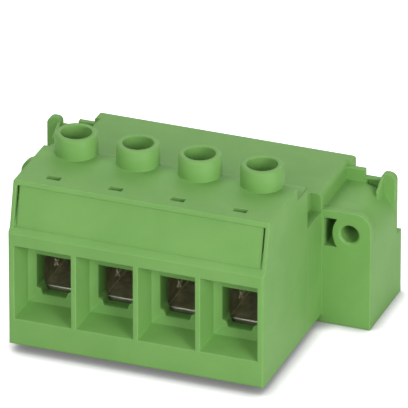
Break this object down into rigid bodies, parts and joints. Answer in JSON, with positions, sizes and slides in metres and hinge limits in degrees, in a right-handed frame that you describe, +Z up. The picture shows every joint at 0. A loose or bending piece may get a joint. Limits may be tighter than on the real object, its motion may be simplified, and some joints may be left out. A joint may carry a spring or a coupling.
{
  "type": "pluggable terminal block",
  "caption": "Green plug-in terminal block with screw-clamp wire entries, raised driver chimneys, a rear mating shroud and threaded side flanges.",
  "frame": {"origin": "middle of the overall box, at the level of the shroud's underside", "axes": "+X along the row of poles, +Y from the wire side to the mating side, +Z up along the screws"},
  "size_m": [0.0578, 0.0402, 0.0319],
  "materials": {
    "moulded_polyamide": "moulded, satin",
    "tinned_contact": "tin plated",
    "plated_cage": "plated, satin",
    "zinc_screw": "zinc plated",
    "brass_insert": "turned"
  },
  "bodies": {
    "housing": {"terminal_housing": "moulded_polyamide", "plug_shroud": "moulded_polyamide", "contact_1": "tinned_contact", "contact_2": "tinned_contact", "contact_3": "tinned_contact", "contact_4": "tinned_contact", "flange_insert_left": "brass_insert", "flange_insert_right": "brass_insert"},
    "screw_1": {"clamp_screw_1": "zinc_screw"},
    "cage_1": {"clamp_cage_1": "plated_cage"},
    "screw_2": {"clamp_screw_2": "zinc_screw"},
    "cage_2": {"clamp_cage_2": "plated_cage"},
    "screw_3": {"clamp_screw_3": "zinc_screw"},
    "cage_3": {"clamp_cage_3": "plated_cage"},
    "screw_4": {"clamp_screw_4": "zinc_screw"},
    "cage_4": {"clamp_cage_4": "plated_cage"}
  },
  "joints": [
    {"name": "screw_1_turn", "type": "hinge", "parent": "housing", "child": "screw_1", "pos_m": [-0.01524, -0.00538, 0.0163], "axis": [0, 0, -1], "range_deg": [-10, 2582]},
    {"name": "cage_1_lift", "type": "slide", "parent": "housing", "child": "cage_1", "axis": [0, 0, 1], "range_m": [0, 0.005]},
    {"name": "screw_2_turn", "type": "hinge", "parent": "housing", "child": "screw_2", "pos_m": [-0.00508, -0.00538, 0.0163], "axis": [0, 0, -1], "range_deg": [-10, 2582]},
    {"name": "cage_2_lift", "type": "slide", "parent": "housing", "child": "cage_2", "axis": [0, 0, 1], "range_m": [0, 0.005]},
    {"name": "screw_3_turn", "type": "hinge", "parent": "housing", "child": "screw_3", "pos_m": [0.00508, -0.00538, 0.0163], "axis": [0, 0, -1], "range_deg": [-10, 2582]},
    {"name": "cage_3_lift", "type": "slide", "parent": "housing", "child": "cage_3", "axis": [0, 0, 1], "range_m": [0, 0.005]},
    {"name": "screw_4_turn", "type": "hinge", "parent": "housing", "child": "screw_4", "pos_m": [0.01524, -0.00538, 0.0163], "axis": [0, 0, -1], "range_deg": [-10, 2582]},
    {"name": "cage_4_lift", "type": "slide", "parent": "housing", "child": "cage_4", "axis": [0, 0, 1], "range_m": [0, 0.005]}
  ],
  "couplings": [
    {"joint": "screw_1_turn", "follows": "cage_1_lift", "rad_per_m": 8976},
    {"joint": "screw_2_turn", "follows": "cage_2_lift", "rad_per_m": 8976},
    {"joint": "screw_3_turn", "follows": "cage_3_lift", "rad_per_m": 8976},
    {"joint": "screw_4_turn", "follows": "cage_4_lift", "rad_per_m": 8976}
  ]
}
